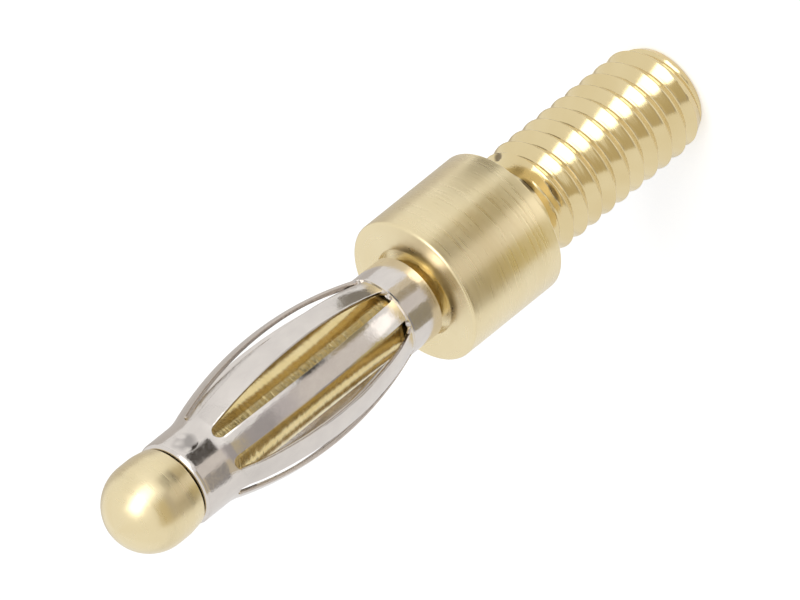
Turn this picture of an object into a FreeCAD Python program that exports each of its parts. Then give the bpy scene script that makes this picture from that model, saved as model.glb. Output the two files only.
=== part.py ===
"""Banana plug with a threaded stud: a turned pin and the spring cage that it carries.

Two pieces. The plug body is turned from one bar: a right-hand M4 stud with an undercut
neck, a plain collar, a slim core pin and a ball nose. The spring cage is one stamped and
rolled sheet: two bands joined by bowed leaves, open along a seam. It floats on the core
between the ball and a shallow recess in the collar, so that it can lengthen there when a
4 mm socket presses the leaves in.

The origin is the centre of the collar's rear face, which seats on a panel. +Z points to the
nose and the stud hangs below the origin. Millimetres and degrees.
"""
import FreeCAD, Part
import math
import os

# Stud
THREAD_DIAMETER = 4.0
THREAD_PITCH = 0.7
THREAD_START_ANGLE = 180.7
STUD_LENGTH = 8.3
NECK_DIAMETER = 3.1
NECK_LENGTH = 0.8
NECK_RAMP_ANGLE = 45.0
POINT_DIAMETER = 3.06
POINT_HALF_ANGLE = 28.0

# Collar
COLLAR_DIAMETER = 5.4
COLLAR_LENGTH = 4.3
COLLAR_FRONT_CHAMFER = 0.1
COLLAR_REAR_CHAMFER = 0.05
RECESS_DEPTH = 0.25
RECESS_CLEARANCE = 0.06

# Core pin and ball nose
CORE_CLEARANCE = 0.18
BALL_DIAMETER = 3.2
BALL_LAND = 0.54
BALL_BACK_DIAMETER = 3.0
BALL_BACK_TAPER = 0.42

# Spring cage
SHEET_THICKNESS = 0.15
BAND_DIAMETER = 3.14
REAR_BAND_LENGTH = 1.35
FRONT_BAND_LENGTH = 1.47
SLOT_LENGTH = 8.6
BOW_DIAMETER = 4.54
FRONT_BEND_RADIUS = 2.0
LEAF_COUNT = 8
LEAF_WIDTH = 0.78
SEAM_GAP = 0.1
CAGE_REAR_CLEARANCE = 0.36
CAGE_FRONT_CLEARANCE = 0.25

# Metric thread form: flats of an eighth and a quarter of the pitch, flanks at 30 degrees
FLANK_ANGLE = 30.0
CREST_FLAT = THREAD_PITCH / 8
ROOT_FLAT = THREAD_PITCH / 4
THREAD_DEPTH = (THREAD_PITCH - CREST_FLAT - ROOT_FLAT) / 2 / math.tan(math.radians(FLANK_ANGLE))

# Levels along the axis
CAGE_REAR = COLLAR_LENGTH + CAGE_REAR_CLEARANCE
SLOT_REAR = CAGE_REAR + REAR_BAND_LENGTH
SLOT_FRONT = SLOT_REAR + SLOT_LENGTH
CAGE_FRONT = SLOT_FRONT + FRONT_BAND_LENGTH
BALL_BACK = CAGE_FRONT + CAGE_FRONT_CLEARANCE
BALL_CENTRE = BALL_BACK + BALL_BACK_TAPER + BALL_LAND

AXIS = FreeCAD.Vector(0, 0, 1)
CENTRE = FreeCAD.Vector(0, 0, 0)


def at(radius, level):
    """A point of the half section, from its radius and its level along the axis."""
    return FreeCAD.Vector(radius, 0, level)


def on_circle(centre, radius, angle):
    """The point of a circle of the half section at an angle from the radial direction."""
    turn = math.radians(angle)
    return centre + at(radius * math.cos(turn), radius * math.sin(turn))


def arc(centre, radius, start, end):
    """An arc of the half section between two angles from the radial direction."""
    ends = [on_circle(centre, radius, angle) for angle in (start, (start + end) / 2, end)]
    return Part.Arc(*ends).toShape()


def chain(*path):
    """Edges that join points and arcs in turn, with straight lines between them."""
    edges = []
    last = None
    for item in path:
        is_point = isinstance(item, FreeCAD.Vector)
        first = item if is_point else item.firstVertex(True).Point
        if last is not None and (first - last).Length > 1e-7:
            edges.append(Part.LineSegment(last, first).toShape())
        if is_point:
            last = item
        else:
            edges.append(item)
            last = item.lastVertex(True).Point
    return edges


def turned(edges):
    """The solid that a closed half section makes when it turns about the axis."""
    return Part.Face(Part.Wire(edges)).revolve(CENTRE, AXIS, 360)


def blank():
    """The plug body before its thread is cut."""
    thread_radius = THREAD_DIAMETER / 2
    point_radius = POINT_DIAMETER / 2
    point_length = (thread_radius - point_radius) / math.tan(math.radians(POINT_HALF_ANGLE))
    neck_radius = NECK_DIAMETER / 2
    ramp_length = (thread_radius - neck_radius) / math.tan(math.radians(NECK_RAMP_ANGLE))
    collar_radius = COLLAR_DIAMETER / 2
    core_radius = BAND_DIAMETER / 2 - SHEET_THICKNESS - CORE_CLEARANCE
    recess_radius = BAND_DIAMETER / 2 + RECESS_CLEARANCE
    recess_floor = COLLAR_LENGTH - RECESS_DEPTH
    ball_radius = BALL_DIAMETER / 2
    section = chain(
        at(0, -STUD_LENGTH),
        at(point_radius, -STUD_LENGTH),
        at(thread_radius, point_length - STUD_LENGTH),
        at(thread_radius, -NECK_LENGTH - ramp_length),
        at(neck_radius, -NECK_LENGTH),
        at(neck_radius, 0),
        at(collar_radius - COLLAR_REAR_CHAMFER, 0),
        at(collar_radius, COLLAR_REAR_CHAMFER),
        at(collar_radius, COLLAR_LENGTH - COLLAR_FRONT_CHAMFER),
        at(collar_radius - COLLAR_FRONT_CHAMFER, COLLAR_LENGTH),
        at(recess_radius, COLLAR_LENGTH),
        at(recess_radius, recess_floor),
        at(core_radius, recess_floor),
        at(core_radius, BALL_BACK),
        at(BALL_BACK_DIAMETER / 2, BALL_BACK),
        at(ball_radius, BALL_BACK + BALL_BACK_TAPER),
        arc(at(0, BALL_CENTRE), ball_radius, 0, 90),
        at(0, -STUD_LENGTH),
    )
    return turned(section)


def thread_groove():
    """The helical groove, from below the stud's end up into the neck.

    Ruled faces between helices give true helicoid flanks. There is a set of them for every
    turn, and two flat faces close the ends.
    """
    reach = CREST_FLAT / 4 / math.tan(math.radians(FLANK_ANGLE))
    outer = THREAD_DIAMETER / 2 + reach
    inner = THREAD_DIAMETER / 2 - THREAD_DEPTH
    half_root = ROOT_FLAT / 2
    half_mouth = half_root + (outer - inner) * math.tan(math.radians(FLANK_ANGLE))
    corners = [at(inner, -half_root), at(outer, -half_mouth), at(outer, half_mouth), at(inner, half_root)]
    top = -1.3 * half_mouth
    turns = math.ceil((STUD_LENGTH + THREAD_PITCH + top) / THREAD_PITCH)
    faces = []
    for turn in range(turns):
        edges = []
        for corner in corners:
            helix = Part.makeHelix(THREAD_PITCH, THREAD_PITCH, corner.x)
            helix.translate(at(0, corner.z + turn * THREAD_PITCH))
            edges.append(helix.Edges[0])
        faces += [Part.makeRuledSurface(*pair) for pair in zip(edges, edges[1:] + edges[:1])]
    for level in (0, turns * THREAD_PITCH):
        end = Part.Face(Part.makePolygon(corners + corners[:1]))
        end.translate(at(0, level))
        faces.append(end)
    shell = Part.makeShell(faces)
    shell.sewShape()
    groove = Part.Solid(shell.Shells[0])
    groove.translate(at(0, top - turns * THREAD_PITCH))
    groove.rotate(CENTRE, AXIS, THREAD_START_ANGLE)
    return groove


def plug_body():
    """The turned pin: stud, neck, collar, core and ball in one piece."""
    return blank().cut(thread_groove())


def sheet_side(depth):
    """One side of the cage's sheet in half section, at a depth below its outer face.

    A single bow arc runs over the slots. It meets the rear band at a sharp bend and blends
    into the front band by a wide one.
    """
    band = BAND_DIAMETER / 2
    rise = BOW_DIAMETER / 2 - band
    half_span = SLOT_LENGTH / 2
    bow_radius = (half_span ** 2 + rise ** 2) / (2 * rise)
    bow_centre = at(BOW_DIAMETER / 2 - bow_radius, SLOT_REAR + half_span)
    rear_lean = -math.degrees(math.acos((band - depth - bow_centre.x) / (bow_radius - depth)))
    bend_out = band + FRONT_BEND_RADIUS - bow_centre.x
    bend_along = math.sqrt((bow_radius + FRONT_BEND_RADIUS) ** 2 - bend_out ** 2)
    bend_centre = bow_centre + at(bend_out, bend_along)
    front_lean = math.degrees(math.atan2(bend_along, bend_out))
    return chain(
        at(band - depth, CAGE_REAR),
        arc(bow_centre, bow_radius - depth, rear_lean, front_lean),
        arc(bend_centre, FRONT_BEND_RADIUS + depth, front_lean + 180, 180),
        at(band - depth, CAGE_FRONT),
    )


def slot_cutter():
    """A tool that widens outwards, so that the leaves beside its slot keep their width.

    The slot's round ends are cut as three flats each.
    """
    half_pitch = math.radians(180 / LEAF_COUNT)
    apex = LEAF_WIDTH / 2 / math.sin(half_pitch)
    outer = BOW_DIAMETER / 2 + SHEET_THICKNESS
    end_round = (BAND_DIAMETER / 2 - apex) * math.tan(half_pitch)
    rear = SLOT_REAR + end_round
    front = SLOT_FRONT - end_round
    corner = math.tan(math.radians(22.5))
    outlines = []
    for radius in (apex + SHEET_THICKNESS / 10, outer):
        half_width = (radius - apex) * math.tan(half_pitch)
        quarter = [(half_width, corner * half_width), (corner * half_width, half_width)]
        side = [(y, front + reach) for y, reach in quarter]
        side += [(-y, front + reach) for y, reach in reversed(quarter)]
        side += [(-y, rear - reach) for y, reach in quarter]
        side += [(y, rear - reach) for y, reach in reversed(quarter)]
        points = [FreeCAD.Vector(radius, y, level) for y, level in side]
        outlines.append(Part.makePolygon(points + points[:1]))
    return Part.makeLoft(outlines, True, True)


def seam_cutter():
    """The thin slab that opens both bands in line with one slot, away from the front."""
    length = CAGE_FRONT - CAGE_REAR
    margin = SHEET_THICKNESS
    slab = Part.makeBox(
        BAND_DIAMETER,
        SEAM_GAP,
        length + 2 * margin,
        FreeCAD.Vector(0, -SEAM_GAP / 2, CAGE_REAR - margin),
    )
    slab.rotate(CENTRE, AXIS, (LEAF_COUNT // 4 + 0.5) * 360 / LEAF_COUNT)
    return slab


def spring_cage():
    """The rolled sheet: two open bands joined by bowed leaves."""
    outside = sheet_side(0)
    inside = sheet_side(SHEET_THICKNESS)
    rims = [
        Part.LineSegment(at(BAND_DIAMETER / 2 - SHEET_THICKNESS, level), at(BAND_DIAMETER / 2, level))
        for level in (CAGE_REAR, CAGE_FRONT)
    ]
    section = Part.__sortEdges__(outside + inside + [rim.toShape() for rim in rims])
    slots = []
    for index in range(LEAF_COUNT):
        slot = slot_cutter()
        slot.rotate(CENTRE, AXIS, (index + 0.5) * 360 / LEAF_COUNT)
        slots.append(slot)
    return turned(section).cut(slots + [seam_cutter()])


def main():
    os.makedirs("parts", exist_ok=True)
    pieces = {"plug_body": plug_body(), "spring_cage": spring_cage()}
    for name, shape in pieces.items():
        solid = shape.Solids[0] if len(shape.Solids) == 1 else shape
        solid.exportStep(f"parts/{name}.step")
        print(name, "solids", len(shape.Solids), "valid", shape.isValid(), "volume", round(shape.Volume, 4))


main()
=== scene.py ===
"""Looks of the banana plug: fine meshes, plated metal, a soft studio and the photograph's view.

Metres, in the CAD frame: +Z points to the ball nose and the origin is the centre of the
collar's rear face. The stud's flat end stands on the floor.
"""

import math

import bmesh
import bpy
from mathutils import Matrix, Vector

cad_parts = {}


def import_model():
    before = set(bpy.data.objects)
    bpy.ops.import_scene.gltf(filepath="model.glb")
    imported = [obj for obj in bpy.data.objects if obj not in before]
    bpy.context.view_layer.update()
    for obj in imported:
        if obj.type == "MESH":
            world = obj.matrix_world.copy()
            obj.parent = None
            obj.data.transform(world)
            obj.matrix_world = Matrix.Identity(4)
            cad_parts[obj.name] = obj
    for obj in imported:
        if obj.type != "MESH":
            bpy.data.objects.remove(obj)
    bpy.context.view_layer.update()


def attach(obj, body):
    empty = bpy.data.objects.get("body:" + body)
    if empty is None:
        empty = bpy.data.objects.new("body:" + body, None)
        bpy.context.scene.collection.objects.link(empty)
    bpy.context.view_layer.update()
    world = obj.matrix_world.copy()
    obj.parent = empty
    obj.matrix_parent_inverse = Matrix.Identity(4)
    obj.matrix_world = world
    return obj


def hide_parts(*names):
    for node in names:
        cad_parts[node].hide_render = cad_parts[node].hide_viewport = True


MM = 0.001
TAU = 2 * math.pi

# Sizes that the solids have too, in millimetres and degrees
THREAD_RADIUS = 2.0
THREAD_PITCH = 0.7
STUD_LENGTH = 8.3
POINT_HALF_ANGLE = 28.0
NECK_RADIUS = 1.55
NECK_LENGTH = 0.8
COLLAR_RADIUS = 2.7
COLLAR_LENGTH = 4.3
RECESS_RADIUS = 1.63
RECESS_DEPTH = 0.25
CORE_RADIUS = 1.24
BALL_RADIUS = 1.6
BALL_LAND_START = 16.75
BALL_CENTRE = 17.29
CAGE_REAR = 4.66
SLOT_REAR = 6.01
SLOT_FRONT = 14.61
BAND_RADIUS = 1.57
BOW_RADIUS = 2.27
FRONT_BEND = 2.0
SHEET = 0.15
LEAF_WIDTH = 0.78
LEAF_COUNT = 8
SEAM_GAP = 0.1
SEAM_ANGLE = 112.5

# Thread of the skin: shallower than the solid's, with less steep flanks and soft corners
THREAD_DEPTH = 0.335
FLANK_SLOPE = 1.02
THREAD_ROUND = 0.015
# Level of the middle of a root at +X
THREAD_PHASE = -1.478

# Stud's end of the skin: a little wider than the solid's, with a rounded edge
POINT_RADIUS = 1.58
POINT_ROUND = 0.16

# Nicks at the thread's run-out, which the gold also darkens as painted shade: angle and half angle in
# degrees, level and half height
NICKS = (
    (-69.5, 12.0, -0.78, 0.11),
    (-95.0, 12.0, -1.2, 0.055),
    (-14.0, 6.0, -1.12, 0.12),
)
NICK_DEPTH = 0.05
# How fast a nick's depth grows from its edge, in full depths
NICK_EDGE = 3

# Roundings of the turned edges, where the solid has sharp corners or small chamfers
NECK_ROUND = 0.04
COLLAR_REAR_ROUND = 0.05
COLLAR_FRONT_ROUND = 0.1
RECESS_ROUND = 0.03
BALL_BACK_ROUND = 0.05
BALL_LAND_ROUND = 1.6

# Back of the ball, nearer to the cage than the solid's
BALL_BACK = 16.23
BALL_BACK_RADIUS = 1.51

# Cage of the skin: a lip that turns in at the front edge, a soft rear bend and rounded edges
CAGE_FRONT = 16.14
LIP_ROUND = 0.18
LIP_TURN = 75.0
REAR_BEND = 0.06
SHEET_EDGE_ROUND = 0.03
# How far each leaf bows, as a share of the drawing's bow, anticlockwise from +X
LEAF_BOWS = (1.0, 0.98, 1.03, 1.0, 1.0, 1.11, 1.05, 1.12)
# How far each leaf leans round the axis half-way along, in degrees
LEAF_LEANS = (0.0, 0.6, -0.8, 0.5, 1.6, -2.0, 0.0, 0.0)
# Length over which a leaf takes on its own bow and lean
LEAF_FADE = 0.8

# Zone of the small dents in the cage's front band, where the nickel is also darkened as painted shade, given
# as the nicks are
DENTS = (-49.0, 14.0, 15.5, 0.42)

# How finely the meshes are divided
STUD_COLUMNS = 96
ROWS_PER_PITCH = 36
TURNED_SEGMENTS = 192
CORNER_STEPS = 6
CORE_STEPS = 24
BALL_STEPS = 40
LEAF_COLUMNS = 12
REAR_BAND_STEPS = 12
REAR_BEND_STEPS = 6
BOW_STEPS = 90
FRONT_BEND_STEPS = 12
FRONT_BAND_STEPS = 10
LIP_STEPS = 6
BEVEL_STEPS = 3
# Levels that are added at each slot end, how far they reach and how close levels may be
SLOT_END_STEPS = 10
SLOT_END_REACH = 0.24
LEVEL_SPACING = 0.004

# Distances in metres within which vertices are joined: at the end, and first in the cage's sheet
WELD = 1e-7
SHEET_WELD = 2e-6
# A radius in millimetres that counts as the axis, and an angle in radians that counts as none
ON_AXIS = 1e-6
SAME_ANGLE = 1e-6
# Largest exponent that soft_floor works with
EXPONENT_LIMIT = 40.0

# Edges sharper than these angles, in degrees, keep a hard shade or get a bevel
BODY_SHARP = 50
CAGE_SHARP = 60
BEVEL_SHARP = 50


# Mesh helpers
def make_object(name, vertices, faces, scale=MM):
    """A smooth-shaded object in the scene, from vertices in millimetres or another scale."""
    mesh = bpy.data.meshes.new(name)
    mesh.from_pydata([Vector(v) * scale for v in vertices], [], faces)
    mesh.update()
    obj = bpy.data.objects.new(name, mesh)
    bpy.context.scene.collection.objects.link(obj)
    shade_smooth(mesh)
    return obj


def shade_smooth(mesh):
    for face in mesh.polygons:
        face.use_smooth = True


def weld(bm, distance):
    """Joins vertices that lie within a distance."""
    bmesh.ops.remove_doubles(bm, verts=bm.verts, dist=distance)


def mark_sharp(obj, degrees):
    """Marks the edges that keep a hard shade, after equal vertices are joined."""
    limit = math.radians(degrees)
    bm = bmesh.new()
    bm.from_mesh(obj.data)
    weld(bm, WELD)
    for edge in bm.edges:
        edge.smooth = len(edge.link_faces) == 2 and edge.calc_face_angle(0) < limit
    bm.to_mesh(obj.data)
    bm.free()


def spread(start, end, count):
    """Evenly spaced values from start to end."""
    return [start + (end - start) * i / count for i in range(count + 1)]


def around(radius, angle, level):
    """A point at a radius and an angle round the axis, at a level."""
    return (radius * math.cos(angle), radius * math.sin(angle), level)


def mesh_of_rings(rows):
    """Vertices and faces of a surface round Z, from rows of (radii round the axis, level).

    A row of one radius is a point on the axis.
    """
    vertices, rings = [], []
    for radii, level in rows:
        first = len(vertices)
        rings.append(range(first, first + len(radii)))
        for k, radius in enumerate(radii):
            vertices.append(around(radius, TAU * k / len(radii), level))
    faces = []
    for low, high in zip(rings, rings[1:]):
        faces += faces_between(low, high)
    return vertices, faces


def faces_between(low, high):
    """Faces that join two rings of vertex numbers, of which one may be a single point."""
    count = max(len(low), len(high))
    faces = []
    for k in range(count):
        m = (k + 1) % count
        if len(low) == 1:
            faces.append((low[0], high[m], high[k]))
        elif len(high) == 1:
            faces.append((low[k], low[m], high[0]))
        else:
            faces.append((low[k], low[m], high[m], high[k]))
    return faces


def lathe(profile):
    """Vertices and faces of a profile of (radius, level) turned about Z."""
    rows = []
    for radius, level in profile:
        count = 1 if radius < ON_AXIS else TURNED_SEGMENTS
        rows.append(([radius] * count, level))
    return mesh_of_rings(rows)


def round_corner(before, corner, after, radius):
    """Points of an arc that rounds a corner of a profile."""
    a = (Vector(before) - Vector(corner)).normalized()
    b = (Vector(after) - Vector(corner)).normalized()
    half = a.angle(b) / 2
    reach = radius / math.tan(half)
    centre = Vector(corner) + (a + b).normalized() * radius / math.sin(half)
    start = Vector(corner) + a * reach - centre
    end = Vector(corner) + b * reach - centre
    turn = start.angle_signed(end)
    points = []
    for i in range(CORNER_STEPS + 1):
        angle = -turn * i / CORNER_STEPS
        c, s = math.cos(angle), math.sin(angle)
        points.append(centre + Vector((start.x * c - start.y * s, start.x * s + start.y * c)))
    return [tuple(p) for p in points]


def rounded(corners):
    """A profile of (radius, level, rounding) corners with arcs in place of the rounded ones."""
    points = []
    for i, (r, z, radius) in enumerate(corners):
        if radius == 0:
            points.append((r, z))
            continue
        before, after = corners[i - 1][:2], corners[i + 1][:2]
        points += round_corner(before, (r, z), after, radius)
    return points


def merge(parts):
    """One mesh of several (vertices, faces), with the number of its part for each face."""
    vertices, faces, slots = [], [], []
    for slot, (part_vertices, part_faces) in enumerate(parts):
        base = len(vertices)
        vertices += part_vertices
        faces += [tuple(base + i for i in face) for face in part_faces]
        slots += [slot] * len(part_faces)
    return vertices, faces, slots


# Plug body
def soft_floor(value, blend):
    """The value where it is above zero and zero elsewhere, with a rounded corner between."""
    exponent = max(-EXPONENT_LIMIT, min(EXPONENT_LIMIT, value / blend))
    return blend * math.log1p(math.exp(exponent))


def thread_radius(angle, level):
    """Radius of the stud's surface, with crests and roots a little rounded."""
    phase = (level - THREAD_PHASE - THREAD_PITCH * angle / TAU) / THREAD_PITCH
    off = abs((phase + 0.5) % 1 - 0.5) * THREAD_PITCH
    half_root = (THREAD_PITCH / 2 - THREAD_DEPTH / FLANK_SLOPE) / 2
    cut = THREAD_DEPTH - soft_floor(off - half_root, THREAD_ROUND) * FLANK_SLOPE
    cut = soft_floor(cut, THREAD_ROUND)
    ramp = NECK_RADIUS + max(0.0, -NECK_LENGTH - level)
    return min(THREAD_RADIUS - cut, point_radius(level), ramp) - nick_depth(angle, level)


def point_radius(level):
    """Radius of the cone at the stud's end, with a rounded edge."""
    above_end = level + STUD_LENGTH
    radius = POINT_RADIUS + above_end * math.tan(math.radians(POINT_HALF_ANGLE))
    if above_end < POINT_ROUND:
        radius -= POINT_ROUND * (1 - math.sqrt(1 - (1 - above_end / POINT_ROUND) ** 2))
    return radius


def nick_depth(angle, level):
    """Depth of the small nicks that the tool left where the thread runs out."""
    depth = 0.0
    for middle, half_turn, height, half_height in NICKS:
        turn = (math.degrees(angle) - middle + 180) % 360 - 180
        across = (turn / half_turn) ** 2 + ((level - height) / half_height) ** 2
        depth = max(depth, NICK_DEPTH * min(1.0, NICK_EDGE * (1 - across)))
    return depth


def stud_mesh():
    rows = [([0.0], -STUD_LENGTH)]
    steps = int(round((STUD_LENGTH - NECK_LENGTH) / THREAD_PITCH * ROWS_PER_PITCH))
    for level in spread(-STUD_LENGTH, -NECK_LENGTH, steps):
        angles = [TAU * k / STUD_COLUMNS for k in range(STUD_COLUMNS)]
        rows.append(([thread_radius(angle, level) for angle in angles], level))
    return mesh_of_rings(rows)


def neck_and_collar_profile():
    recess_floor = COLLAR_LENGTH - RECESS_DEPTH
    return rounded([
        (NECK_RADIUS, -NECK_LENGTH, 0),
        (NECK_RADIUS, 0, NECK_ROUND),
        (COLLAR_RADIUS, 0, COLLAR_REAR_ROUND),
        (COLLAR_RADIUS, COLLAR_LENGTH, COLLAR_FRONT_ROUND),
        (RECESS_RADIUS, COLLAR_LENGTH, RECESS_ROUND),
        (RECESS_RADIUS, recess_floor, RECESS_ROUND),
        (CORE_RADIUS, recess_floor, 0),
    ])


def core_profile():
    levels = spread(COLLAR_LENGTH - RECESS_DEPTH, BALL_BACK, CORE_STEPS)
    return [(CORE_RADIUS, level) for level in levels]


def ball_profile():
    points = rounded([
        (CORE_RADIUS, BALL_BACK, 0),
        (BALL_BACK_RADIUS, BALL_BACK, BALL_BACK_ROUND),
        (BALL_RADIUS, BALL_LAND_START, BALL_LAND_ROUND),
        (BALL_RADIUS, BALL_CENTRE, 0),
    ])
    for i in range(1, BALL_STEPS):
        angle = math.pi / 2 * i / BALL_STEPS
        points.append((BALL_RADIUS * math.cos(angle), BALL_CENTRE + BALL_RADIUS * math.sin(angle)))
    return points + [(0, BALL_CENTRE + BALL_RADIUS)]


def build_body(materials):
    """The turned pin, from materials for the stud, the collar, the core and the ball."""
    collar, core, ball = (lathe(p) for p in (neck_and_collar_profile(), core_profile(), ball_profile()))
    vertices, faces, slots = merge([stud_mesh(), collar, core, ball])
    obj = make_object("plug_body_skin", vertices, faces)
    for material in materials:
        obj.data.materials.append(material)
    for face, slot in zip(obj.data.polygons, slots):
        face.material_index = slot
    mark_sharp(obj, BODY_SHARP)
    return obj


# Spring cage
def arc_points(centre, radius, angles):
    """Points of an arc in the sheet's section, at angles from the radial direction."""
    return [(centre[0] + radius * math.cos(a), centre[1] + radius * math.sin(a)) for a in angles]


def leaf_bow():
    """Centre and radius of the bow of a leaf, which runs through both slot ends."""
    rise = BOW_RADIUS - BAND_RADIUS
    half = (SLOT_FRONT - SLOT_REAR) / 2
    radius = (half ** 2 + rise ** 2) / (2 * rise)
    return (BOW_RADIUS - radius, SLOT_REAR + half), radius


def bend(bow_centre, bow_radius, bend_radius, side):
    """Centre of the bend between the bow and a band, and the angle that it turns through."""
    out = BAND_RADIUS + bend_radius - bow_centre[0]
    along = math.sqrt((bow_radius + bend_radius) ** 2 - out ** 2)
    return (bow_centre[0] + out, bow_centre[1] + side * along), math.atan2(along, out)


def lip_points(start):
    """The front edge's lip, which turns in towards the axis."""
    points = []
    for i in range(1, LIP_STEPS + 1):
        angle = math.radians(LIP_TURN) * i / LIP_STEPS
        points.append((BAND_RADIUS - LIP_ROUND * (1 - math.cos(angle)), start + LIP_ROUND * math.sin(angle)))
    return points


def cage_section():
    """The sheet's outer line as (radius, level), from the rear edge to the lip."""
    centre, bow = leaf_bow()
    rear, rear_turn = bend(centre, bow, REAR_BEND, -1)
    front, front_turn = bend(centre, bow, FRONT_BEND, 1)
    rear_angles = [math.pi + rear_turn * i / REAR_BEND_STEPS for i in range(1, REAR_BEND_STEPS + 1)]
    front_angles = [math.pi + front_turn * (1 - i / FRONT_BEND_STEPS) for i in range(1, FRONT_BEND_STEPS + 1)]
    lip_start = CAGE_FRONT - LIP_ROUND * math.sin(math.radians(LIP_TURN))
    points = [(BAND_RADIUS, z) for z in spread(CAGE_REAR, rear[1], REAR_BAND_STEPS)]
    points += arc_points(rear, REAR_BEND, rear_angles)
    points += arc_points(centre, bow, spread(-rear_turn, front_turn, BOW_STEPS)[1:])
    points += arc_points(front, FRONT_BEND, front_angles)
    points += [(BAND_RADIUS, z) for z in spread(front[1], lip_start, FRONT_BAND_STEPS)[1:]]
    return points + lip_points(lip_start)


def leaf_half_angle(radius, level):
    """Half the angle of sheet left round a leaf at a level, up to half the leaf pitch."""
    half_pitch = math.pi / LEAF_COUNT
    leaf = math.asin(LEAF_WIDTH / 2 / radius)
    end = BAND_RADIUS * (half_pitch - math.asin(LEAF_WIDTH / 2 / BAND_RADIUS))
    inside = min(level - SLOT_REAR, SLOT_FRONT - level)
    if inside <= 0:
        return half_pitch
    if inside >= end:
        return leaf
    opening = math.sqrt(end ** 2 - (end - inside) ** 2) / end
    return half_pitch - (half_pitch - leaf) * opening


def slot_end_levels():
    """Levels that lie close together at both slot ends, where the slots are round."""
    levels = []
    for end, side in ((SLOT_REAR, 1), (SLOT_FRONT, -1)):
        for i in range(SLOT_END_STEPS + 1):
            share = 1 - math.cos(math.pi / 2 * i / SLOT_END_STEPS)
            levels.append(end + side * SLOT_END_REACH * share)
    return levels


def refine(points):
    """The section with the slot ends' levels added, and without levels that nearly coincide."""
    out = list(points)
    for level in slot_end_levels():
        for (r0, z0), (r1, z1) in zip(points, points[1:]):
            if z0 < level < z1:
                out.append((r0 + (r1 - r0) * (level - z0) / (z1 - z0), level))
                break
    out.sort(key=lambda p: p[1])
    kept = [out[0]]
    for point in out[1:]:
        if point[1] - kept[-1][1] > LEVEL_SPACING:
            kept.append(point)
    return kept


def leaf_row(leaf, radius, level):
    """Vertices across one leaf and its share of the bands, at one level of the section."""
    pitch = TAU / LEAF_COUNT
    seam = math.radians(SEAM_ANGLE)
    half = leaf_half_angle(radius, level)
    inside = max(0.0, min(1.0, (level - SLOT_REAR) / LEAF_FADE, (SLOT_FRONT - level) / LEAF_FADE))
    radius = BAND_RADIUS + (radius - BAND_RADIUS) * (1 + (LEAF_BOWS[leaf] - 1) * inside)
    lean = math.radians(LEAF_LEANS[leaf]) * inside
    row = []
    for k in range(LEAF_COLUMNS + 1):
        angle = leaf * pitch + lean + half * (2 * k / LEAF_COLUMNS - 1)
        if half > pitch / 2 - SAME_ANGLE and abs(angle - seam) < SAME_ANGLE:
            angle += math.copysign(SEAM_GAP / 2 / BAND_RADIUS, leaf * pitch - seam)
        row.append(around(radius, angle, level))
    return row


def cage_sheet():
    """Vertices and faces of the sheet's outer surface, leaf by leaf."""
    section = refine(cage_section())
    wide = LEAF_COLUMNS + 1
    vertices, faces = [], []
    for leaf in range(LEAF_COUNT):
        base = len(vertices)
        for radius, level in section:
            vertices += leaf_row(leaf, radius, level)
        for i in range(len(section) - 1):
            for k in range(LEAF_COLUMNS):
                low = base + i * wide + k
                faces.append((low, low + 1, low + 1 + wide, low + wide))
    return vertices, faces


def thicken(obj):
    """Gives the sheet its thickness, inwards, and small rounded edges."""
    shell = obj.modifiers.new("sheet", "SOLIDIFY")
    shell.thickness = SHEET * MM
    shell.offset = -1
    shell.use_even_offset = True
    bevel = obj.modifiers.new("edges", "BEVEL")
    bevel.width = SHEET_EDGE_ROUND * MM
    bevel.segments = BEVEL_STEPS
    bevel.limit_method = "ANGLE"
    bevel.angle_limit = math.radians(BEVEL_SHARP)
    bevel.use_clamp_overlap = True
    depsgraph = bpy.context.evaluated_depsgraph_get()
    mesh = bpy.data.meshes.new_from_object(obj.evaluated_get(depsgraph))
    obj.modifiers.clear()
    obj.data = mesh
    shade_smooth(mesh)


def build_cage(material):
    obj = make_object("spring_cage_skin", *cage_sheet())
    bm = bmesh.new()
    bm.from_mesh(obj.data)
    weld(bm, SHEET_WELD)
    bm.to_mesh(obj.data)
    bm.free()
    thicken(obj)
    obj.data.materials.clear()
    obj.data.materials.append(material)
    mark_sharp(obj, CAGE_SHARP)
    return obj


# Materials
GOLD_LIGHT = (0.885, 0.76, 0.48)
GOLD_DEEP = (0.85, 0.715, 0.43)
# Gold of the core: the same plating, darker and more saturated, as painted shade under the cage
CORE_SHADED_LIGHT = (0.86, 0.71, 0.38)
CORE_SHADED_DEEP = (0.80, 0.63, 0.28)
# Gold of the stud: the same plating as the collar, darker and more saturated, as painted shade on the thread
THREAD_SHADED_LIGHT = (0.81, 0.67, 0.38)
THREAD_SHADED_DEEP = (0.76, 0.61, 0.32)
# Painted shade in the nicks at the thread's run-out
NICK_PAINTED_SHADE = (0.24, 0.18, 0.09)
NICKEL_DEEP = (0.71, 0.66, 0.62)
NICKEL_LIGHT = (0.77, 0.72, 0.67)
# Painted shade over the dented zone of the front band, between the dents
DENT_PAINTED_SHADE = (0.4, 0.37, 0.35)

# Range that most of a noise's values lie in
NOISE_LOW = 0.3
NOISE_HIGH = 0.7
# How far a step out from the axis counts along it, so that marks on flat faces are rings
RADIUS_SHARE = 0.3
# A zone's mask ends where the square of the distance from its middle, in half sizes, is this
ZONE_END = 1.4
# Dents for each metre, the distance from a dent's middle where it starts to rise, and how fast
DENT_SCALE = 2900
DENT_FLOOR = 0.2
DENT_RISE = 3.0
# Shares of fine marks and dents in the nickel's relief, and the relief's depth
FINE_SHARE = 0.15
DENT_SHARE = 2.0
NICKEL_RELIEF = 0.01
# Clear coat over the gold
COAT_WEIGHT = 0.5
# Colour sockets of the mix node
MIX_BELOW = 6
MIX_OVER = 7
MIX_RESULT = 2


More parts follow.
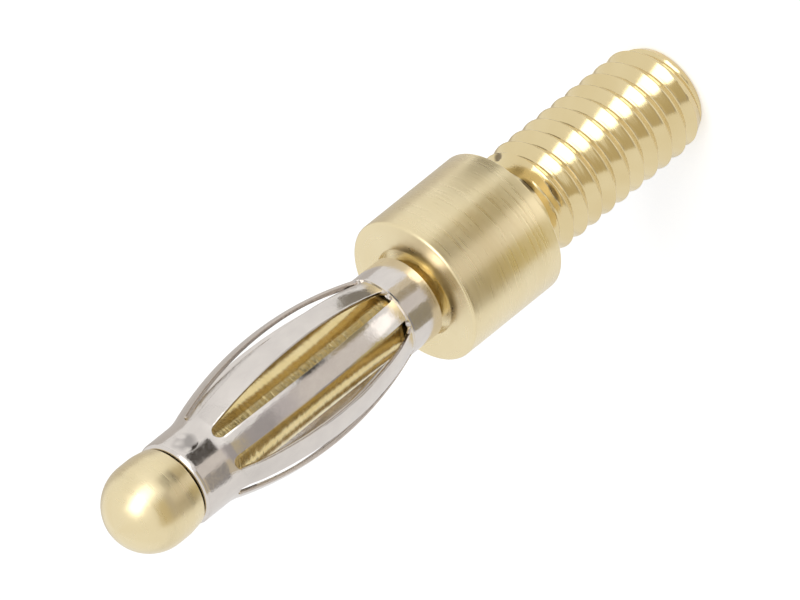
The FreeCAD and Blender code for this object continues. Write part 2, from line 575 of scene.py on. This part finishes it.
class Nodes:
    """A short way to write a material's nodes."""

    def __init__(self, name):
        self.material = bpy.data.materials.new(name)
        self.material.use_nodes = True
        self.tree = self.material.node_tree
        self.shader = next(n for n in self.tree.nodes if n.type == "BSDF_PRINCIPLED")
        self.output = next(n for n in self.tree.nodes if n.type == "OUTPUT_MATERIAL")

    def add(self, kind, **values):
        node = self.tree.nodes.new(kind)
        for key, value in values.items():
            setattr(node, key, value)
        return node

    def link(self, output, target):
        self.tree.links.new(output, target)

    def math(self, operation, a, b=None):
        node = self.add("ShaderNodeMath", operation=operation)
        for socket, value in zip(node.inputs, (a, b)):
            if value is None:
                continue
            if isinstance(value, (int, float)):
                socket.default_value = value
            else:
                self.link(value, socket)
        return node.outputs[0]

    def place(self):
        """The place on the object, in metres."""
        return self.add("ShaderNodeTexCoord").outputs["Object"]

    def split_place(self):
        """The place's x, y and z, and its angle round the axis."""
        split = self.add("ShaderNodeSeparateXYZ")
        self.link(self.place(), split.inputs[0])
        x, y, z = split.outputs
        return x, y, z, self.math("ARCTAN2", y, x)

    def round_coordinates(self, angle_scale, level_scale):
        """A vector that runs round the axis, and along it with some of the way out from it."""
        x, y, z, angle = self.split_place()
        squares = self.math("ADD", self.math("MULTIPLY", x, x), self.math("MULTIPLY", y, y))
        radius = self.math("SQRT", squares)
        cosine = self.math("MULTIPLY", self.math("COSINE", angle), angle_scale)
        sine = self.math("MULTIPLY", self.math("SINE", angle), angle_scale)
        slanted = self.math("ADD", z, self.math("MULTIPLY", radius, RADIUS_SHARE))
        along = self.math("MULTIPLY", slanted, level_scale / MM)
        join = self.add("ShaderNodeCombineXYZ")
        for output, target in zip((cosine, sine, along), join.inputs):
            self.link(output, target)
        return join.outputs[0]

    def noise(self, vector, scale, detail=2.0, roughness=0.5):
        node = self.add("ShaderNodeTexNoise")
        node.inputs["Scale"].default_value = scale
        node.inputs["Detail"].default_value = detail
        node.inputs["Roughness"].default_value = roughness
        self.link(vector, node.inputs["Vector"])
        return node.outputs["Fac"]

    def tones(self, noise, deep, light):
        """A colour between two tones, from a noise."""
        node = self.add("ShaderNodeValToRGB")
        stops = ((NOISE_LOW, deep), (NOISE_HIGH, light))
        for element, (position, colour) in zip(node.color_ramp.elements, stops):
            element.position = position
            element.color = (*colour, 1)
        self.link(noise, node.inputs[0])
        return node.outputs[0]

    def map(self, noise, low, high):
        """A value between low and high, from a noise."""
        node = self.add("ShaderNodeMapRange")
        node.inputs["From Min"].default_value = NOISE_LOW
        node.inputs["From Max"].default_value = NOISE_HIGH
        node.inputs["To Min"].default_value = low
        node.inputs["To Max"].default_value = high
        self.link(noise, node.inputs["Value"])
        return node.outputs[0]

    def mask(self, zones):
        """One inside oval zones of the surface and zero outside, with a soft edge."""
        x, y, z, angle = self.split_place()
        mask = 0.0
        for middle, half_turn, height, half_height in zones:
            turn = self.math("SUBTRACT", angle, math.radians(middle))
            turn = self.math("DIVIDE", turn, math.radians(half_turn))
            rise = self.math("DIVIDE", self.math("SUBTRACT", z, height * MM), half_height * MM)
            across = self.math("ADD", self.math("MULTIPLY", turn, turn), self.math("MULTIPLY", rise, rise))
            mask = self.math("MAXIMUM", mask, self.math("SUBTRACT", ZONE_END, across))
        return self.math("MINIMUM", mask, 1.0)

    def dents_and_shade(self, zones):
        """Zero in the middle of round dents and one between them, within the zones only."""
        node = self.add("ShaderNodeTexVoronoi", feature="SMOOTH_F1")
        node.inputs["Scale"].default_value = DENT_SCALE
        self.link(self.place(), node.inputs["Vector"])
        above = self.math("SUBTRACT", node.outputs["Distance"], DENT_FLOOR)
        rise = self.math("MULTIPLY", above, DENT_RISE)
        rise = self.math("MINIMUM", self.math("MAXIMUM", rise, 0.0), 1.0)
        return self.math("MULTIPLY", rise, self.mask(zones))

    def blend(self, factor, colour, over):
        """The colour socket, with another colour laid over it by a factor."""
        node = self.add("ShaderNodeMix", data_type="RGBA")
        self.link(factor, node.inputs["Factor"])
        self.link(colour, node.inputs[MIX_BELOW])
        node.inputs[MIX_OVER].default_value = (*over, 1)
        return node.outputs[MIX_RESULT]

    def bump(self, height, depth):
        """Relief of a depth in millimetres."""
        node = self.add("ShaderNodeBump")
        node.inputs["Strength"].default_value = 1.0
        node.inputs["Distance"].default_value = depth * MM
        self.link(height, node.inputs["Height"])
        self.link(node.outputs[0], self.shader.inputs["Normal"])


def gold(name, rough, rough_spread, mark_scale, mark_depth, deep=GOLD_DEEP, light=GOLD_LIGHT):
    """Pale gold plating over turned brass: marks run round the axis, and painted shade darkens the nicks."""
    nodes = Nodes(name)
    nodes.shader.inputs["Metallic"].default_value = 1.0
    nodes.shader.inputs["Coat Weight"].default_value = COAT_WEIGHT
    nodes.shader.inputs["Coat Roughness"].default_value = rough
    place = nodes.round_coordinates(angle_scale=1.2, level_scale=mark_scale)
    lines = nodes.noise(place, scale=1.0, detail=3.0, roughness=0.6)
    wide_place = nodes.round_coordinates(angle_scale=1.0, level_scale=0.6)
    cloud = nodes.noise(wide_place, scale=1.3)
    # The nicks are darkened: painted shade
    colour = nodes.blend(nodes.mask(NICKS), nodes.tones(cloud, deep, light), NICK_PAINTED_SHADE)
    nodes.link(colour, nodes.shader.inputs["Base Color"])
    roughness = nodes.map(lines, rough - rough_spread, rough + rough_spread)
    nodes.link(roughness, nodes.shader.inputs["Roughness"])
    nodes.bump(lines, mark_depth)
    return nodes.material


def body_materials():
    """Materials of the stud, the collar, the core and the ball. Mark depths in millimetres."""
    return [
        # The stud's gold is darker than the collar's: painted shade on the thread
        gold("gold_thread_shaded", rough=0.14, rough_spread=0.03, mark_scale=12.0, mark_depth=0.004,
             deep=THREAD_SHADED_DEEP, light=THREAD_SHADED_LIGHT),
        gold("gold_collar", rough=0.30, rough_spread=0.06, mark_scale=9.0, mark_depth=0.007),
        # The core's gold is darker than the collar's: painted shade under the cage
        gold("gold_core_shaded", rough=0.22, rough_spread=0.05, mark_scale=5.0, mark_depth=0.03,
             deep=CORE_SHADED_DEEP, light=CORE_SHADED_LIGHT),
        gold("gold_ball", rough=0.30, rough_spread=0.05, mark_scale=9.0, mark_depth=0.005),
    ]


def nickel():
    """Soft nickel plating with faint clouds, fine marks and small dents on the front band, whose zone is
    darkened between the dents as painted shade.
    """
    nodes = Nodes("nickel_plating")
    nodes.shader.inputs["Metallic"].default_value = 1.0
    place = nodes.round_coordinates(angle_scale=3.0, level_scale=1.0)
    cloud = nodes.noise(place, scale=1.5, detail=4.0, roughness=0.55)
    fine = nodes.noise(place, scale=14.0, detail=3.0, roughness=0.6)
    dents_and_shade = nodes.dents_and_shade([DENTS])
    # The dented zone is darkened between the dents: painted shade
    colour = nodes.blend(dents_and_shade, nodes.tones(cloud, NICKEL_DEEP, NICKEL_LIGHT), DENT_PAINTED_SHADE)
    nodes.link(colour, nodes.shader.inputs["Base Color"])
    nodes.link(nodes.map(fine, low=0.09, high=0.18), nodes.shader.inputs["Roughness"])
    height = nodes.math("ADD", cloud, nodes.math("MULTIPLY", fine, FINE_SHARE))
    height = nodes.math("ADD", height, nodes.math("MULTIPLY", dents_and_shade, DENT_SHARE))
    nodes.bump(height, NICKEL_RELIEF)
    return nodes.material


# View
# Directions of the photograph, worked out from how the axis and the leaves lie in it
AXIS_TILT = math.radians(31.0)
NEAR_AZIMUTH = math.radians(-84.2)
# The picture's right, as shares of the axis's direction in the picture and of the side
PICTURE_TURN = (0.7788, 0.6272)
PIXELS_PER_MM = 30.25
ORIGIN_PIXEL = (500.8, 222.0)
PICTURE_SIZE = (800, 600)
# The camera's distance in metres and its sensor's width in millimetres
CAMERA_DISTANCE = 0.9
SENSOR_WIDTH = 36

NEAR = Vector((math.cos(NEAR_AZIMUTH), math.sin(NEAR_AZIMUTH), 0))
SIDE = Vector((math.sin(NEAR_AZIMUTH), -math.cos(NEAR_AZIMUTH), 0))
UP = Vector((0, 0, 1))
TO_CAMERA = NEAR * math.cos(AXIS_TILT) + UP * math.sin(AXIS_TILT)


def add_camera():
    along = NEAR * math.sin(AXIS_TILT) - UP * math.cos(AXIS_TILT)
    right = along * PICTURE_TURN[0] + SIDE * PICTURE_TURN[1]
    up = along * PICTURE_TURN[1] - SIDE * PICTURE_TURN[0]
    to_middle = right * (PICTURE_SIZE[0] / 2 - ORIGIN_PIXEL[0]) - up * (PICTURE_SIZE[1] / 2 - ORIGIN_PIXEL[1])
    target = to_middle / PIXELS_PER_MM * MM
    data = bpy.data.cameras.new("camera")
    data.sensor_width = SENSOR_WIDTH
    data.lens = SENSOR_WIDTH * CAMERA_DISTANCE / (PICTURE_SIZE[0] / PIXELS_PER_MM * MM)
    camera = bpy.data.objects.new("camera", data)
    bpy.context.scene.collection.objects.link(camera)
    turn = Matrix((right, up, TO_CAMERA)).transposed()
    camera.matrix_world = Matrix.Translation(target + TO_CAMERA * CAMERA_DISTANCE) @ turn.to_4x4()
    bpy.context.scene.camera = camera


# Studio
# Lamp panels: name, azimuth and elevation in degrees, height in metres, and radiance
LAMPS = (
    ("key", -28.5, 48, 0.356, 2.0),
    ("key_foot", -28.5, 13, 0.156, 1.1),
)
LAMP_WIDTH = 0.22
LAMP_DISTANCE = 0.4

# What the even world lights with, and what metal shows of it
WORLD_LIGHT = 0.55
WORLD_MIRRORED = 0.9

# Half the floor's side in metres, its paper's white, and its glow to the camera and in metal
FLOOR_REACH = 0.6
FLOOR_WHITE = (0.86, 0.86, 0.86, 1)
FLOOR_SEEN = 0.5
FLOOR_MIRRORED = 0.25

# Glowing cards on the floor that only the metal's reflections show, as painted reflections: start and end
# azimuth in degrees, inner and outer radius in millimetres, tint
FLOOR_REFLECTION_CARDS = (
    (-42, -2, 13, 21, (0.32, 0.27, 0.15)),
    (-42, -19, 21, 27, (0.76, 0.66, 0.47)),
    (-19, -2, 21, 27, (0.44, 0.37, 0.24)),
    (-37, -1, 29, 50, (0.07, 0.062, 0.055)),
    (-2, 32, 14.5, 60, (0.74, 0.7, 0.66)),
    (-2, 32, 60, 110, (0.6, 0.57, 0.57)),
    (-2, 32, 110, 250, (0.48, 0.46, 0.47)),
    # This card glows brighter than white: a painted highlight on the leaves
    (-5, 30, 8.5, 13.5, (1.5, 1.46, 1.42)),
    (32, 71, 13, 21, (0.56, 0.46, 0.17)),
    (32, 82, 21, 27, (0.35, 0.31, 0.22)),
    (32, 76, 27, 44, (0.31, 0.3, 0.3)),
    (32, 68, 44, 250, (0.62, 0.55, 0.42)),
    (-180, -110, 13, 250, (0.6, 0.57, 0.54)),
    (-100, -60, 8, 16, (0.26, 0.24, 0.2)),
)
# Their height above the floor in millimetres, and the angle of each flat part in degrees
FLOOR_CARD_LIFT = 0.05
FLOOR_CARD_STEP = 4

# Glowing upright cards that only the metal's reflections show, as painted reflections: start and end azimuth
# in degrees, lower and upper level in millimetres, tint
WALL_REFLECTION_CARDS = (
    (2, 60, 9.5, 15, (0.42, 0.4, 0.4)),
    (6, 66, 15, 26, (0.56, 0.49, 0.33)),
)
WALL_CARD_RADIUS = 20
WALL_CARD_STEPS = 8


def direction(azimuth, elevation):
    """Unit vector at an azimuth, clockwise from the near side, and an elevation, in degrees."""
    a, e = math.radians(azimuth), math.radians(elevation)
    return (NEAR * math.cos(a) + SIDE * math.sin(a)) * math.cos(e) + UP * math.sin(e)


def add_lamp(name, azimuth, elevation, height, radiance):
    """A soft lamp panel that faces the object, with the radiance that its face shows."""
    data = bpy.data.lights.new(name, "AREA")
    data.shape = "RECTANGLE"
    data.size = LAMP_WIDTH
    data.size_y = height
    data.energy = radiance * math.pi * LAMP_WIDTH * height
    lamp = bpy.data.objects.new(name, data)
    bpy.context.scene.collection.objects.link(lamp)
    away = direction(azimuth, elevation)
    turn = away.to_track_quat("Z", "Y").to_matrix().to_4x4()
    lamp.matrix_world = Matrix.Translation(away * LAMP_DISTANCE) @ turn
    lamp.visible_camera = False


def add_floor():
    """White paper that also glows a little, more to the camera than in metal."""
    level = -STUD_LENGTH * MM
    ways = ((-1, -1), (1, -1), (1, 1), (-1, 1))
    corners = [(x * FLOOR_REACH, y * FLOOR_REACH, level) for x, y in ways]
    floor = make_object("floor", corners, [(0, 1, 2, 3)], 1.0)
    nodes = Nodes("floor_paper")
    nodes.shader.inputs["Base Color"].default_value = FLOOR_WHITE
    nodes.shader.inputs["Roughness"].default_value = 1.0
    nodes.shader.inputs["Specular IOR Level"].default_value = 0.0
    glow = nodes.add("ShaderNodeEmission")
    path = nodes.add("ShaderNodeLightPath")
    seen = nodes.math("MULTIPLY", path.outputs["Is Camera Ray"], FLOOR_SEEN)
    mirrored = nodes.math("MAXIMUM", path.outputs["Is Glossy Ray"], path.outputs["Is Transmission Ray"])
    mirrored = nodes.math("MULTIPLY", mirrored, FLOOR_MIRRORED)
    nodes.link(nodes.math("ADD", seen, mirrored), glow.inputs["Strength"])
    total = nodes.add("ShaderNodeAddShader")
    nodes.link(nodes.shader.outputs[0], total.inputs[0])
    nodes.link(glow.outputs[0], total.inputs[1])
    nodes.link(total.outputs[0], nodes.output.inputs["Surface"])
    floor.data.materials.append(nodes.material)


def set_world():
    """An even sky, white to the camera. Metal shows it lighter than it lights."""
    world = bpy.data.worlds.new("studio")
    world.use_nodes = True
    tree = world.node_tree
    path = tree.nodes.new("ShaderNodeLightPath")
    level = tree.nodes.new("ShaderNodeMapRange")
    level.inputs["To Min"].default_value = WORLD_LIGHT
    level.inputs["To Max"].default_value = WORLD_MIRRORED
    tree.links.new(path.outputs["Is Glossy Ray"], level.inputs["Value"])
    strength = tree.nodes.new("ShaderNodeMath")
    strength.operation = "MAXIMUM"
    tree.links.new(level.outputs[0], strength.inputs[0])
    tree.links.new(path.outputs["Is Camera Ray"], strength.inputs[1])
    background = tree.nodes["Background"]
    tree.links.new(strength.outputs[0], background.inputs["Strength"])
    background.inputs["Color"].default_value = (1, 1, 1, 1)
    bpy.context.scene.world = world


def add_reflection_card(name, corners, colour):
    """A sheet of tinted, glowing card that only the object's reflections show, a painted reflection, from
    rows of four corners.
    """
    vertices = [corner for four in corners for corner in four]
    faces = [tuple(range(4 * i, 4 * i + 4)) for i in range(len(corners))]
    card = make_object(name, vertices, faces)
    nodes = Nodes(name)
    glow = nodes.add("ShaderNodeEmission")
    glow.inputs["Color"].default_value = (*colour, 1)
    nodes.link(glow.outputs[0], nodes.output.inputs["Surface"])
    card.data.materials.append(nodes.material)
    card.visible_camera = False
    card.visible_diffuse = False
    card.visible_shadow = False
    card.visible_transmission = False


def floor_reflection_card(name, start, end, inner, outer, colour):
    """A part of a ring on the floor round the object, between two azimuths and two radii."""
    level = FLOOR_CARD_LIFT - STUD_LENGTH
    steps = max(2, int(abs(end - start) / FLOOR_CARD_STEP))
    angles = spread(start, end, steps)
    corners = []
    for a, b in zip(angles, angles[1:]):
        ways = ((a, inner), (a, outer), (b, outer), (b, inner))
        corners.append([direction(angle, 0) * radius + UP * level for angle, radius in ways])
    add_reflection_card(name, corners, colour)


def wall_reflection_card(name, start, end, bottom, top, colour):
    """A part of an upright wall round the object, between two azimuths and two levels."""
    angles = spread(start, end, WALL_CARD_STEPS)
    corners = []
    for a, b in zip(angles, angles[1:]):
        ends = ((a, bottom), (a, top), (b, top), (b, bottom))
        corners.append([direction(angle, 0) * WALL_CARD_RADIUS + UP * level for angle, level in ends])
    add_reflection_card(name, corners, colour)


def build_studio():
    add_floor()
    set_world()
    for lamp in LAMPS:
        add_lamp(*lamp)
    for number, card in enumerate(FLOOR_REFLECTION_CARDS, 1):
        floor_reflection_card(f"floor_reflection_card_{number}", *card)
    for number, card in enumerate(WALL_REFLECTION_CARDS, 1):
        wall_reflection_card(f"wall_reflection_card_{number}", *card)


def main():
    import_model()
    body = build_body(body_materials())
    cage = build_cage(nickel())
    for piece, node, slot in ((body, "plug_body", "plug"), (cage, "spring_cage", "cage")):
        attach(piece, "root")
        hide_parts(node)
    build_studio()
    add_camera()
    bpy.context.scene.view_settings.view_transform = "Standard"


main()
